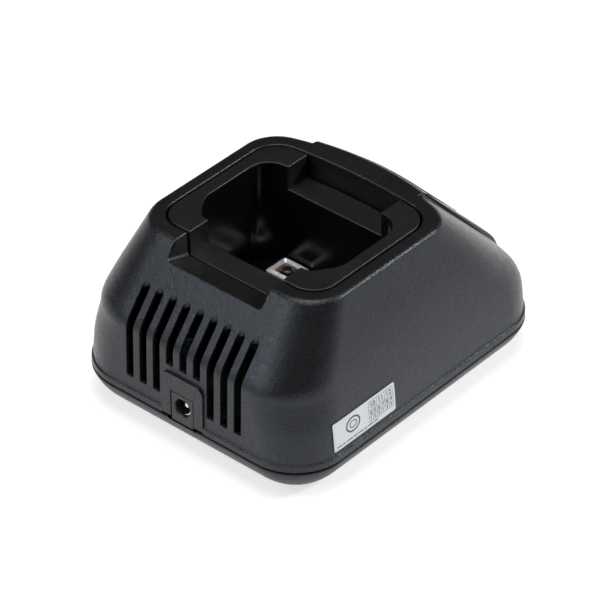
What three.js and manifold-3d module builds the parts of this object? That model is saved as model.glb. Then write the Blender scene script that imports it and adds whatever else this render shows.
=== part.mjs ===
// Desktop charging cradle for a hand-held two-way radio, millimetres, +Z up.
// Front (indicator side) is -Y, rear (power inlet, vents) is +Y, the origin is the middle of the footprint on the table.
import * as THREE from "three";
import { mergeVertices } from "three/addons/utils/BufferGeometryUtils.js";
import Module from "manifold-3d";

const wasm = await Module();
wasm.setup();

// ---- driving dimensions ----
const LENGTH = 128.0; // rear face to the middle of the bowed front
const WIDTH = 99.2; // across the lower lip
const FOOT_H = 1.0; // how far the feet stand out below the base
const BASE_H = 10.3; // base pan, from its underside to the seam
const SEAM = FOOT_H + BASE_H; // height of the seam between base and housing
const BODY_H = 51.06; // housing, from the seam to the flat rim
const LIP = 0.5; // lower lip proud of the wall
const LIP_H = 2.6;
const WALL = 2.4; // housing and base wall, measured level
const RIM_HALF = 38.4; // half width of the flat rim
const RIM_REAR = 20.0; // rim, rear edge, from the rear face
const RIM_FRONT = 91.3; // rim, front edge on the centre line, from the rear face
const REAR_SLOPE = 0.794; // level run per unit of height on the rear slope
const SIDE_BREAK = 20; // height above the seam where the side slopes begin
const FRONT_BREAK = 15.5; // height above the seam where the front slope begins
const FRONT_TURN = 72; // degrees of corner before the bowed front arc
const PANEL_PROUD = 1.7; // raised front panel, measured level
const GAP = 0.3; // clearance between neighbouring pieces
const POCKET_HALF = 33.05; // charging pocket flange, half width
const POCKET_REAR = 26.1; // pocket flange, from the rear face
const POCKET_FRONT = 83.3; // pocket flange on the centre line, from the rear face
const WELL_HALF = 28.4;
const WELL_REAR = 35.4; // well, from the rear face
const WELL_FRONT = 73.1;
const WELL_FLOOR = 12.4; // above the seam
const SEAT = 13.0; // raised seat in the well, above the seam
const NOTCH_HALF = 19.2; // finger notches in front and rear of the pocket
const NOTCH_FLOOR = 42.1; // above the seam
const SLOT_PITCH = 5.65;
const SLOT_W = 2.6;
const SLOT_TOP = 38.7; // above the seam
const JACK_W = 9.0;
const JACK_AXIS = 6.0; // above the seam
const JACK_BORE = 6.2;
const BOARD_TOP = -0.5; // above the seam
const BOARD_T = 1.6;
const PLUNGER_TRAVEL = 1.6;
const POSTS = [
  [37, 32],
  [-37, 32],
  [37, 93],
  [-37, 93],
]; // x, distance from the rear face

const Y = (fromRear) => LENGTH / 2 - fromRear;
const Z = (aboveSeam) => SEAM + aboveSeam;
const rad = (d) => (d * Math.PI) / 180;
const smin = (a, b, k) => {
  const h = Math.min(1, Math.max(0, 0.5 + (0.5 * (b - a)) / k));
  return b * (1 - h) + a * h - k * h * (1 - h);
};

// ---- solids ----
function manifoldOf(geometry) {
  let g = geometry.clone();
  g.deleteAttribute("normal");
  g.deleteAttribute("uv");
  g = mergeVertices(g, 1e-4);
  return new wasm.Manifold(
    new wasm.Mesh({
      numProp: 3,
      vertProperties: new Float32Array(g.attributes.position.array),
      triVerts: new Uint32Array(g.index.array),
    }),
  );
}
// A skin through closed loops of equal length, with both ends capped. flat(p) gives the two coordinates used to cap.
function loft(loops, flat = (p) => [p[0], p[1]]) {
  const n = loops[0].length,
    pos = loops.flat(2),
    idx = [];
  for (let s = 0; s + 1 < loops.length; s++)
    for (let i = 0; i < n; i++) {
      const j = (i + 1) % n,
        a = s * n + i,
        b = s * n + j,
        c = a + n,
        d = b + n;
      idx.push(a, b, d, a, d, c);
    }
  const cap = (loop, base, up) => {
    const c = loop.map((p) => new THREE.Vector2(...flat(p)));
    for (const t of THREE.ShapeUtils.triangulateShape(c, []))
      idx.push(...(up ? t : [t[0], t[2], t[1]]).map((k) => base + k));
  };
  cap(loops[0], 0, false);
  cap(loops.at(-1), (loops.length - 1) * n, true);
  const g = new THREE.BufferGeometry();
  g.setAttribute(
    "position",
    new THREE.BufferAttribute(new Float32Array(pos), 3),
  );
  g.setIndex(idx);
  const m = manifoldOf(g);
  if (m.volume() > 0) return m;
  for (let i = 0; i < idx.length; i += 3)
    [idx[i + 1], idx[i + 2]] = [idx[i + 2], idx[i + 1]];
  g.setIndex(idx);
  return manifoldOf(g);
}
const place = (g, x, y, z, rx = 0, ry = 0, rz = 0) => {
  g.applyMatrix4(
    new THREE.Matrix4().makeRotationFromEuler(new THREE.Euler(rx, ry, rz)),
  );
  g.translate(x, y, z);
  return manifoldOf(g);
};
const block = (x0, x1, y0, y1, z0, z1) =>
  place(
    new THREE.BoxGeometry(
      Math.abs(x1 - x0),
      Math.abs(y1 - y0),
      Math.abs(z1 - z0),
    ),
    (x0 + x1) / 2,
    (y0 + y1) / 2,
    (z0 + z1) / 2,
  );
// upright cylinder
const post = (x, y, z0, z1, r, seg = 16, r2 = r) =>
  place(
    new THREE.CylinderGeometry(r2, r, z1 - z0, seg),
    x,
    y,
    (z0 + z1) / 2,
    Math.PI / 2,
  );
// cylinder along Y
const rod = (x, y0, y1, z, r, seg = 16) =>
  place(
    new THREE.CylinderGeometry(r, r, Math.abs(y1 - y0), seg),
    x,
    (y0 + y1) / 2,
    z,
  );
// closed outline in X-Y raised from z0 to z1
function slab(points, z0, z1) {
  const s = new THREE.Shape(points.map((p) => new THREE.Vector2(p[0], p[1])));
  const g = new THREE.ExtrudeGeometry(s, {
    depth: z1 - z0,
    bevelEnabled: false,
  });
  g.translate(0, 0, z0);
  return manifoldOf(g);
}
// closed outline in X-Z, carried from y0 to y1 (y1 > y0)
function wallCut(points, y0, y1) {
  const s = new THREE.Shape(points.map((p) => new THREE.Vector2(p[0], p[1])));
  const g = new THREE.ExtrudeGeometry(s, {
    depth: y1 - y0,
    bevelEnabled: false,
  });
  g.rotateX(Math.PI / 2);
  g.translate(0, y1, 0);
  return manifoldOf(g);
}
// rounded rectangle, radii in the order +x-y, +x+y, -x+y, -x-y
function round4(x0, x1, y0, y1, radii, n = 5) {
  const c = [
    [x1, y0, -90, -1, 1],
    [x1, y1, 0, -1, -1],
    [x0, y1, 90, 1, -1],
    [x0, y0, 180, 1, 1],
  ];
  return c.flatMap(([x, y, a, sx, sy], i) => {
    const r = radii[i];
    if (r < 0.01) return [[x, y]];
    return Array.from({ length: n + 1 }, (_, k) => {
      const t = rad(a + (90 * k) / n);
      return [x + sx * r + r * Math.cos(t), y + sy * r + r * Math.sin(t)];
    });
  });
}

// ---- outer form of the housing: level sections ----
function sizes(h) {
  const t = Math.min(1, Math.max(0, h / 24));
  const half = smin(
    49.1 - 0.6 * t,
    RIM_HALF + ((BODY_H - h) * (48.5 - RIM_HALF)) / (BODY_H - SIDE_BREAK),
    6,
  );
  const rear = -smin(
    -(0.5 + 0.5 * t),
    -(RIM_REAR - REAR_SLOPE * (BODY_H - h)),
    2.5,
  );
  const tf = Math.min(1, Math.max(0, h / FRONT_BREAK));
  const front = smin(
    127.5 - 0.9 * tf,
    RIM_FRONT + ((BODY_H - h) * (126.6 - RIM_FRONT)) / (BODY_H - FRONT_BREAK),
    4,
  );
  const u = Math.min(1, Math.max(0, (BODY_H - h) / (BODY_H - 24)));
  const s = Math.min(1, Math.max(0, (24 - h) / 12));
  const rr = 14 + 6 * u - 2 * s * s * (3 - 2 * s);
  return { half, rear, front, rr, rf: 13 + 5 * u };
}
function section(h, off, n = 6, nf = 6) {
  const { half, rear, front, rr, rf } = sizes(h);
  const ph = rad(FRONT_TURN),
    xc = half - rf,
    R = (xc + rf * Math.cos(ph)) / Math.cos(ph);
  const yc = front - R * (1 - Math.sin(ph)) - rf * Math.sin(ph),
    Yc = front - R;
  const a = rr - off,
    b = rf - off,
    c = R - off,
    xr = half - rr,
    p = [];
  for (let k = 0; k <= n; k++) {
    const t = rad(-90 + (90 * k) / n);
    p.push([xr + a * Math.cos(t), rear + rr + a * Math.sin(t)]);
  }
  for (let k = 0; k <= n; k++) {
    const t = (ph * k) / n;
    p.push([xc + b * Math.cos(t), yc + b * Math.sin(t)]);
  }
  for (let k = 1; k < nf; k++) {
    const t = ph + ((Math.PI - 2 * ph) * k) / nf;
    p.push([c * Math.cos(t), Yc + c * Math.sin(t)]);
  }
  for (let k = 0; k <= n; k++) {
    const t = Math.PI - ph + (ph * k) / n;
    p.push([-xc + b * Math.cos(t), yc + b * Math.sin(t)]);
  }
  for (let k = 0; k <= n; k++) {
    const t = rad(180 + (90 * k) / n);
    p.push([-xr + a * Math.cos(t), rear + rr + a * Math.sin(t)]);
  }
  return p.map(([x, d]) => [-x, Y(d)]);
}
const ring = (h, off, z = Z(h)) => section(h, off).map((p) => [...p, z]);
const skin = (levels) => loft(levels.map(([h, off, z]) => ring(h, off, z)));

const BODY_LEVELS = [8, 14, 18, 22, 25, 28, 36, 44, 49.9];
const formAt = (off) =>
  skin([
    [LIP_H, off],
    ...BODY_LEVELS.map((h) => [h, off]),
    [50.7, off + 0.35],
    [BODY_H, off + 1.2],
  ]);

// ---- top housing ----
const pocketOutline = (grow, n = 5) => {
  // flat rear, bowed front
  const h = POCKET_HALF + grow,
    r = 8.4 + grow,
    y0 = POCKET_REAR - grow,
    y1 = POCKET_FRONT + grow,
    bow = 2.6;
  return round4(-h, h, y0, y1, [r, r, r, r], n)
    .flatMap((p, i, all) => {
      const q = all[(i + 1) % all.length];
      if (p[1] > 80 && q[1] > 80 && Math.abs(p[0] - q[0]) > 20)
        return [0, 1, 2, 3, 4, 5].map((k) => [
          p[0] + ((q[0] - p[0]) * k) / 6,
          p[1],
        ]);
      return [p];
    })
    .map(([x, d]) => [
      -x,
      Y(
        d -
          (d > 60
            ? bow *
              (x / POCKET_HALF) ** 2 *
              Math.min(1, (d - 60) / (y1 - 60 - r / 2))
            : 0),
      ),
    ]);
};
let housing = skin([
  [0.25, -LIP],
  [2.35, -LIP],
  [2.6, -LIP + 0.3],
  [2.75, 0],
  ...BODY_LEVELS.map((h) => [h, 0]),
  [50.7, 0.35],
  [BODY_H, 1.2],
]);
const body = housing;
const panelTrap = (grow, z0, z1) =>
  wallCut(
    [
      [-26.3 - grow, z0],
      [26.3 + grow, z0],
      [21.4 + grow, z1],
      [-21.4 - grow, z1],
    ],
    Y(LENGTH),
    Y(84),
  );
housing = housing.add(
  formAt(-PANEL_PROUD).intersect(panelTrap(0, Z(12.3), Z(60))),
);
// jack boss, flush with the lip
const bossShape = round4(-8.7, 8.7, Z(0.8), Z(17.5), [0, 3, 3, 0], 4);
housing = housing.add(wallCut(bossShape, Y(3), Y(0)));
// hollow inside
const cavity = skin([
  [-1, WALL, Z(-1)],
  [4, WALL],
  [14, WALL],
  [20, WALL],
  [24, WALL],
  [29, WALL],
  [40, WALL],
  [48.3, WALL],
]);
housing = housing.subtract(cavity);
// collar round the pocket, the tray behind the finger cut-out, posts and ribs
let inner = slab(pocketOutline(GAP + 1.7), Z(38), Z(49.5));
inner = inner.add(block(-22, 22, Y(12), Y(27), Z(39.6), Z(49.5)));
for (const [x, d] of POSTS)
  inner = inner
    .add(post(x, Y(d), Z(0.3), Z(49), 3.5))
    .add(
      block(
        x + Math.sign(x) * 2,
        x + Math.sign(x) * 13,
        Y(d - 0.8),
        Y(d + 0.8),
        Z(3),
        Z(44),
      ),
    );
for (const x of [-14, 14])
  inner = inner
    .add(post(x, Y(21.6), Z(36.8), Z(42), 3))
    .add(post(x, Y(88.4), Z(36.8), Z(49.5), 3));
const within = skin([
  [0.3, 0.6],
  [14, 0.6],
  [20, 0.6],
  [24, 0.6],
  [26, 0.6],
  [29, 0.6],
  [44, 0.6],
  [50.2, 0.6],
]);
housing = housing.add(inner.intersect(within));
housing = housing.subtract(slab(pocketOutline(GAP), Z(30), Z(60)));
// finger cut-out through the rear of the rim: square inside, rounded outside
const U = (half, floor, r, d) =>
  round4(-half, half, Z(floor), Z(70), [r, 0.02, 0.02, r], 4).map(([x, z]) => [
    x,
    Y(d),
    z,
  ]);
const cutLoops = [
  [NOTCH_HALF + 0.8, 49.4, 3.4, 2],
  [NOTCH_HALF + 0.5, 45.4, 3.4, 15.2],
  [NOTCH_HALF + 0.1, NOTCH_FLOOR, 0.2, 26.2],
  [NOTCH_HALF + 0.1, NOTCH_FLOOR, 0.2, 33],
];
housing = housing.subtract(
  loft(
    cutLoops.map((a) => U(...a)).reverse(),
    (p) => [p[0], p[2]],
  ),
);
// vent slots: the upper end of each is round in plan, as the mould draws upwards
const slotEnd = RIM_REAR - REAR_SLOPE * (BODY_H - SLOT_TOP);
for (let i = -4; i <= 4; i++) {
  const x = i * SLOT_PITCH,
    r = SLOT_W / 2,
    low = Math.abs(i) > 1 ? 7.1 : 19.6;
  const plan = [
    [x - r, Y(-4)],
    [x + r, Y(-4)],
    ...[0, 1, 2, 3, 4, 5, 6].map((k) => [
      x + r * Math.cos(rad(30 * k)),
      Y(slotEnd - r + r * Math.sin(rad(30 * k))),
    ]),
  ];
  // counter-clockwise in X-Y
  const upright = slab(plan.reverse(), Z(0), Z(48));
  const front = wallCut(
    round4(x - r, x + r, Z(low), Z(47), [0.6, 0.02, 0.02, 0.6], 2),
    Y(16),
    Y(-4),
  );
  housing = housing.subtract(upright.intersect(front));
}
// window for the power inlet, open at the seam
housing = housing.subtract(
  block(
    -JACK_W / 2 - GAP,
    JACK_W / 2 + GAP,
    Y(6),
    Y(-3),
    Z(-1),
    Z(JACK_AXIS + 5.1),
  ),
);
// pilot holes
for (const [x, d] of POSTS)
  housing = housing.subtract(post(x, Y(d), Z(-1), Z(13), 1.6, 10));
for (const x of [-14, 14])
  for (const d of [21.6, 88.4])
    housing = housing.subtract(post(x, Y(d), Z(30), Z(40.5), 1.35, 10));
// light pipe holes
const PIPES = [
  [-6, 108],
  [6, 108],
];
for (const [x, d] of PIPES)
  housing = housing.subtract(post(x, Y(d), Z(26), Z(45), 1.8, 14));

// ---- base pan ----
const baseRing = (drop, inset) => ring(0, -LIP + inset, Z(-drop));
const arc = (a) => [
  0.65 + 20 * (Math.sin(rad(a)) - Math.sin(rad(20))),
  20 * (Math.cos(rad(20)) - Math.cos(rad(a))),
];
let base = loft(
  [
    [0.15, 0],
    [0.65, 0],
    arc(27),
    arc(34),
    arc(41),
    arc(48),
    arc(53),
    [BASE_H, 7.9],
  ]
    .reverse()
    .map((q) => baseRing(...q)),
);
base = base.subtract(
  loft([
    baseRing(BASE_H - 2, 9.3),
    baseRing(6, 6.6),
    baseRing(3, 4.4),
    baseRing(1.2, 3.3),
    baseRing(-1, 3.3),
  ]),
);
// tongue that locates inside the housing
base = base.add(
  loft([baseRing(2, 3.2), baseRing(-1.4, 3.2)]).subtract(
    loft([baseRing(3, 4.4), baseRing(-3, 4.4)]),
  ),
);
// screw towers and board standoffs
const STANDOFFS = [
  [25, 22],
  [-25, 22],
  [25, 104],
  [-25, 104],
];
const FEET = [
  [31, 17],
  [-31, 17],
  [31, 110],
  [-31, 110],
];
for (const [x, d] of POSTS) base = base.add(post(x, Y(d), Z(-9), Z(0), 4.2));
for (const [x, d] of STANDOFFS)
  base = base.add(
    post(x, Y(d), Z(-9), Z(BOARD_TOP - BOARD_T - GAP), 3),
  );
// clearance in the tongue for the inlet and the ribs
base = base.subtract(block(-6, 6, Y(14), Y(-1), Z(-0.75), Z(3)));
base = base.subtract(block(-9.2, 9.2, Y(14), Y(2.4), Z(-0.75), Z(3)));
for (const [x, d] of POSTS) {
  base = base
    .subtract(post(x, Y(d), Z(-12), Z(-6.4), 3.2))
    .subtract(post(x, Y(d), Z(-12), Z(2), 1.7, 12));
}
for (const [x, d] of STANDOFFS)
  base = base.subtract(post(x, Y(d), Z(-7.6), Z(2), 1.2, 10));
for (const [x, d] of FEET)
  base = base.subtract(post(x, Y(d), Z(-12), Z(-BASE_H + 0.9), 5.3, 24));
// underside label recess
base = base.subtract(block(-22, 22, Y(52), Y(84), Z(-12), Z(-BASE_H + 0.35)));

// ---- charging pocket ----
const wellOutline = (grow) => {
  const h = WELL_HALF + grow,
    a = WELL_REAR - grow,
    b = WELL_FRONT + grow;
  // wide rounded front corners, S-shaped rear corners
  const half = [
    [21.3 + grow * 0.6, a - 0.6 * (grow < 1 ? 1 : 0)],
    [23.2 + grow * 0.7, 36.0 - grow * 0.7],
    [25.4 + grow * 0.8, 38.9 - grow * 0.6],
    [27.4 + grow, 42.0],
    [h, 45.0],
    [h, 64.6],
    [h - 0.65, 68.0 + 0.2 * grow],
    [h - 2.5, 70.7 + 0.6 * grow],
    [h - 5.3, 72.5 + 0.9 * grow],
    [h - 8.6, b],
  ];
  const all = [...half, ...half.map(([x, d]) => [-x, d]).reverse()];
  return all.map(([x, d]) => [-x, Y(d)]);
};
let pocket = slab(pocketOutline(0), Z(36.2), Z(51.0));
pocket = pocket.add(slab(wellOutline(2), Z(WELL_FLOOR - 2.4), Z(40)));
// ears under the rim
for (const x of [-14, 14])
  pocket = pocket
    .add(block(x - 4, x + 4, Y(18.2), Y(36), Z(34.2), Z(36.5)))
    .add(block(x - 4, x + 4, Y(72), Y(91.8), Z(34.2), Z(36.5)));
pocket = pocket
  .subtract(slab(wellOutline(0), Z(WELL_FLOOR), Z(60)))
  .subtract(
    block(-NOTCH_HALF, NOTCH_HALF, Y(20), Y(38), Z(NOTCH_FLOOR), Z(60)),
  )
  .subtract(
    block(-NOTCH_HALF, NOTCH_HALF, Y(70), Y(90), Z(NOTCH_FLOOR), Z(60)),
  )
  .subtract(block(-17, 17, Y(28.3), Y(33), Z(30), Z(39.8)))
  .subtract(block(-17, 17, Y(75.5), Y(80), Z(30), Z(39.8)));
// raised seat behind the contacts
pocket = pocket.add(
  slab(
    round4(-17, 17, Y(58), Y(40), [2, 2, 2, 2], 3),
    Z(WELL_FLOOR - 0.5),
    Z(SEAT),
  ),
);
for (const x of [-14, 14])
  for (const d of [21.6, 88.4])
    pocket = pocket.subtract(post(x, Y(d), Z(30), Z(40), 1.7, 12));
const CONTACTS = [15.05, -15.05],
  CONTACT_D = 67.6;
for (const x of CONTACTS)
  pocket = pocket.subtract(post(x, Y(CONTACT_D), Z(5), Z(15), 1.9, 14));
const group = new THREE.Group();
function add(name, solid, color, roughness, metalness = 0, extra = {}) {
  const m = solid.getMesh();
  const n = m.numProp,
    v = new Float32Array(m.numVert * 3);
  for (let i = 0; i < m.numVert; i++)
    v.set(m.vertProperties.subarray(i * n, i * n + 3), i * 3);
  const g = new THREE.BufferGeometry();
  g.setAttribute("position", new THREE.BufferAttribute(v, 3));
  g.setIndex(new THREE.BufferAttribute(new Uint32Array(m.triVerts), 1));
  g.computeVertexNormals();
  const mesh = new THREE.Mesh(
    g,
    new THREE.MeshStandardMaterial({ color, roughness, metalness, ...extra }),
  );
  mesh.name = name;
  group.add(mesh);
}
add("top_housing", housing, 0x1c1c1e, 0.55);
add("base_cover", base, 0x1d1d1f, 0.5);
add("charging_pocket", pocket, 0x121110, 0.4);

// ---- contacts in the pocket floor ----
const carrier0 = block(
  -22,
  22,
  Y(61.6),
  Y(73.6),
  Z(BOARD_TOP + GAP),
  Z(WELL_FLOOR - 2.4 - GAP),
);
let carrier = carrier0;
for (const x of CONTACTS)
  carrier = carrier.subtract(
    post(x, Y(CONTACT_D), Z(1.6), Z(12), 2.75, 16),
  );
carrier = carrier.subtract(
  block(-9, 9, Y(60), Y(70.5), Z(-2), Z(6.5)),
);
add("contact_carrier", carrier, 0x141414, 0.5);
CONTACTS.forEach((x, i) => {
  const side = i ? "right" : "left";
  const f0 = Z(WELL_FLOOR + GAP),
    f1 = Z(WELL_FLOOR + 3.4);
  const bezel = block(
    x - 5.35,
    x + 5.35,
    Y(CONTACT_D - 4.9),
    Y(CONTACT_D + 4.9),
    f0,
    f1,
  ).subtract(
    block(
      x - 3.1,
      x + 3.1,
      Y(CONTACT_D - 2.8),
      Y(CONTACT_D + 2.8),
      f0 - 1,
      f1 + 1,
    ),
  );
  add("contact_bezel_" + side, bezel, 0xd9dade, 0.18, 1);
  // button, stem and retaining collar in one turned piece
  const z0 = Z(WELL_FLOOR + 2.05);
  let pl = place(
    new THREE.CylinderGeometry(1.5, 1.9, 1.2, 20),
    x,
    Y(CONTACT_D),
    z0 + 0.6,
    Math.PI / 2,
  );
  pl = pl
    .add(post(x, Y(CONTACT_D), Z(5.2), z0 + 0.3, 1.3, 14))
    .add(post(x, Y(CONTACT_D), Z(8.6), Z(9.4), 2.3, 16));
  add("contact_plunger_" + side, pl, 0x8a5a34, 0.3, 1);
  const spring = post(x, Y(CONTACT_D), Z(1.9), Z(8.3), 2.35, 16).subtract(
    post(x, Y(CONTACT_D), Z(1), Z(9), 1.75, 16),
  );
  add("contact_spring_" + side, spring, 0xb9bcc0, 0.25, 1);
});

// ---- power inlet ----
let jack = block(
  -JACK_W / 2,
  JACK_W / 2,
  Y(3.6),
  Y(0.15),
  Z(BOARD_TOP + GAP),
  Z(JACK_AXIS + 4.8),
);
jack = jack
  .add(
    block(
      -JACK_W / 2,
      JACK_W / 2,
      Y(14.2),
      Y(3.5),
      Z(BOARD_TOP + GAP),
      Z(JACK_AXIS),
    ),
  )
  .add(rod(0, Y(14.2), Y(3.5), Z(JACK_AXIS), JACK_W / 2, 24));
jack = jack.subtract(rod(0, Y(10.2), Y(-2), Z(JACK_AXIS), JACK_BORE / 2, 24));
add("power_inlet_body", jack, 0x0f0f10, 0.4);
add(
  "power_inlet_pin",
  rod(0, Y(9.9), Y(2.2), Z(JACK_AXIS), 1.0, 16).add(
    rod(0, Y(9.9), Y(8.6), Z(JACK_AXIS), 1.6, 16),
  ),
  0xd6d8da,
  0.2,
  1,
);
// sprung sleeve contact, a curved leaf inside the bore
{
  const pts = [],
    r0 = JACK_BORE / 2 - 0.3,
    r1 = r0 - 0.35;
  for (let k = 0; k <= 5; k++) {
    const t = rad(195 + 14 * k);
    pts.push([r0 * Math.cos(t), Z(JACK_AXIS) + r0 * Math.sin(t)]);
  }
  for (let k = 5; k >= 0; k--) {
    const t = rad(195 + 14 * k);
    pts.push([r1 * Math.cos(t), Z(JACK_AXIS) + r1 * Math.sin(t)]);
  }
  add("power_inlet_leaf", wallCut(pts, Y(8.2), Y(1.1)), 0xd9dbdc, 0.2, 1);
}

// ---- circuit board and what is on it ----
const bt = Z(BOARD_TOP),
  bb = bt - BOARD_T,
  on = bt + GAP;
let board = slab(
  round4(-30, 30, Y(112), Y(14.6), [2, 2, 2, 2], 3),
  bb,
  bt,
).add(block(-8, 8, Y(16), Y(4.7), bb, bt));
for (const [x, d] of STANDOFFS)
  board = board.subtract(post(x, Y(d), bb - 1, bt + 1, 1.7, 12));
add("circuit_board", board, 0x1f5a36, 0.5);
const can = (x, d, r, h) =>
  place(
    new THREE.LatheGeometry(
      [
        [0, 0],
        [r - 0.3, 0],
        [r, 0.4],
        [r, 1.4],
        [r - 0.35, 1.8],
        [r, 2.2],
        [r, h - 0.4],
        [r - 0.4, h],
        [0, h],
      ].map((p) => new THREE.Vector2(...p)),
      20,
    ),
    x,
    Y(d),
    on,
    Math.PI / 2,
  );
add("input_capacitor", can(16, 23, 5, 16), 0x23304a, 0.35);
add("output_capacitor", can(-16, 22, 4, 11.5), 0x23304a, 0.35);
add(
  "storage_inductor",
  post(-16, Y(46), on, on + 1.6, 5.4, 20)
    .add(post(-16, Y(46), on + 1, on + 6.4, 4.2, 20))
    .add(post(-16, Y(46), on + 6, on + 7.4, 5.4, 20)),
  0x3a3632,
  0.6,
);
add(
  "charge_controller",
  block(-5, 5, Y(96), Y(89.6), on, on + 3.2).add(
    block(-4.4, 4.4, Y(97), Y(88.6), on, on + 0.9),
  ),
  0x17171a,
  0.5,
);
add(
  "sense_resistor",
  block(8, 26, Y(84.5), Y(78), on, on + 6.5),
  0xd8d4c8,
  0.8,
);
add(
  "input_fuse",
  block(8, 18, Y(44), Y(40), on, on + 5.2),
  0xa8622c,
  0.6,
);
add(
  "rectifier_diode",
  rod(10, Y(58), Y(49), on + 2.9, 2.5, 14)
    .add(rod(10, Y(61), Y(47), on + 2.9, 0.5, 8))
    .add(block(9.5, 10.5, Y(61), Y(60.4), on, on + 3.4))
    .add(block(9.5, 10.5, Y(47.6), Y(47), on, on + 3.4)),
  0x1a1a1c,
  0.4,
);
add(
  "power_transistor",
  block(-23.5, -13.5, Y(94), Y(89.5), on + 3, on + 12)
    .add(block(-23.5, -13.5, Y(90.9), Y(89.5), on + 11, on + 18.5))
    .add(block(-21.5, -20.7, Y(92.6), Y(91.6), on, on + 4))
    .add(block(-18.9, -18.1, Y(92.6), Y(91.6), on, on + 4))
    .add(block(-16.3, -15.5, Y(92.6), Y(91.6), on, on + 4)),
  0x19191b,
  0.45,
);
{
  let hs = block(-28, -9, Y(89.2), Y(87), on, on + 24);
  for (let k = 0; k < 4; k++)
    hs = hs.add(
      block(-28 + k * 5.8, -26.4 + k * 5.8, Y(88), Y(82), on, on + 24),
    );
  add("heat_sink", hs, 0xa9adb0, 0.35, 1);
}
PIPES.forEach(([x, d], i) => {
  const side = i ? "left" : "right";
  add(
    "indicator_led_" + side,
    post(x, Y(d), on, on + 1.2, 2.2, 12)
      .add(post(x, Y(d), on, on + 3.4, 1.6, 12))
      .add(post(x, Y(d), on + 3.3, on + 4.4, 1.6, 12, 0.8)),
    i ? 0xb02020 : 0x2c8a3a,
    0.2,
  );
  const pipe = post(x, Y(d), on + 4.9, Z(50), 1.5, 16).intersect(
    formAt(-PANEL_PROUD - 0.1),
  );
  add("light_pipe_" + side, pipe, 0xdfe6e8, 0.08, 0, {
    transparent: true,
    opacity: 0.7,
  });
});

// ---- labels ----
const sideLabel = formAt(-0.4)
  .subtract(formAt(-0.15))
  .intersect(block(-60, -40, Y(45.4), Y(16.2), Z(4.4), Z(14.6)));
add("side_label", sideLabel, 0xf1f2f3, 0.5);
const overlay = formAt(-PANEL_PROUD - 0.45)
  .subtract(formAt(-PANEL_PROUD - 0.15))
  .intersect(
    block(-17, 17, Y(116), Y(96), Z(18), Z(48)),
  )
  .subtract(post(-6, Y(108), Z(20), Z(50), 1.8, 14))
  .subtract(post(6, Y(108), Z(20), Z(50), 1.8, 14));
add("front_overlay", overlay, 0x2b2c2f, 0.35);
add(
  "rating_label",
  slab(
    round4(-21.5, 21.5, Y(83.5), Y(52.5), [1, 1, 1, 1], 3),
    Z(-BASE_H),
    Z(-BASE_H + 0.15),
  ),
  0xe6e6e4,
  0.5,
);

// ---- screws and feet ----
// pan-head screw, head down, cross recess in the head
function screw(x, y, z, headR, headH, shankR, length) {
  const s = post(x, y, z, z + headH, headR, 12).add(
    post(x, y, z + headH - 0.2, z + headH + length, shankR, 8),
  );
  return s
    .subtract(block(x - 1.5, x + 1.5, y - 0.35, y + 0.35, z - 1, z + 0.9))
    .subtract(block(x - 0.35, x + 0.35, y - 1.5, y + 1.5, z - 1, z + 0.9));
}
const corner = (x, d, mid) =>
  (d < mid ? "rear" : "front") + (x > 0 ? "_right" : "_left");
for (const [x, d] of POSTS)
  add(
    "base_screw_" + corner(-x, d, 60),
    screw(x, Y(d), Z(-8.7), 2.8, 2.0, 1.3, 14),
    0x8b8d90,
    0.35,
    1,
  );
for (const [x, d] of STANDOFFS)
  add(
    "board_screw_" + corner(-x, d, 60),
    place(
      new THREE.CylinderGeometry(2.4, 2.4, 1.6, 12),
      x,
      Y(d),
      bt + GAP + 0.8,
      Math.PI / 2,
    )
      .add(post(x, Y(d), Z(-7.2), bt + GAP + 0.4, 0.9, 8))
      .subtract(
        block(x - 1.4, x + 1.4, Y(d) - 0.3, Y(d) + 0.3, bt + 1.2, bt + 4),
      )
      .subtract(
        block(x - 0.3, x + 0.3, Y(d) - 1.4, Y(d) + 1.4, bt + 1.2, bt + 4),
      ),
    0x9a9c9e,
    0.35,
    1,
  );
for (const x of [-14, 14])
  for (const d of [21.6, 88.4])
    add(
      "pocket_screw_" + corner(-x, d, 60),
      screw(x, Y(d), Z(32.1), 2.5, 1.8, 1.0, 6),
      0x8b8d90,
      0.35,
      1,
    );
for (const [x, d] of FEET)
  add(
    "rubber_foot_" + corner(-x, d, 60),
    post(x, Y(d), 0, FOOT_H + 0.6, 5.0, 20),
    0x1a1a1a,
    0.9,
  );

export default group;
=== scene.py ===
"""Looks of the radio charging cradle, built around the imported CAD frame.

Shapes are worked out in millimetres with the cradle's own form functions, and each mesh is turned into metres when it is finished.
"d" is the distance from the rear face, "h" the height above the seam between base and housing.
"""

import math

import bmesh
import bpy
import numpy as np
from mathutils import Matrix, Vector


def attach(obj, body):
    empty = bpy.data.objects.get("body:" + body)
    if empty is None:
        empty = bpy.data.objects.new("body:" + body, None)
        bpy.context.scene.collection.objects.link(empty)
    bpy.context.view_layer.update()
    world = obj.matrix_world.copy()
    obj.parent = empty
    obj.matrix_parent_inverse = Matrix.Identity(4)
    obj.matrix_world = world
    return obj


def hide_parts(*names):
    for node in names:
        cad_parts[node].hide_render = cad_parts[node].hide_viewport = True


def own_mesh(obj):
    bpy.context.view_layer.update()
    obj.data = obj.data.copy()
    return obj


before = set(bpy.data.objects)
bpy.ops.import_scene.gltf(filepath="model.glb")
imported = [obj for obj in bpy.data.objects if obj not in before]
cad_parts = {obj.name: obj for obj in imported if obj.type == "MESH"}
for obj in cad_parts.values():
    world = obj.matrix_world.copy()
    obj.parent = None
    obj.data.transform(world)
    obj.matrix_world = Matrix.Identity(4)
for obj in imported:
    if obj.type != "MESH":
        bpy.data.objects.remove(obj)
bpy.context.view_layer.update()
scene = bpy.context.scene

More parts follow.
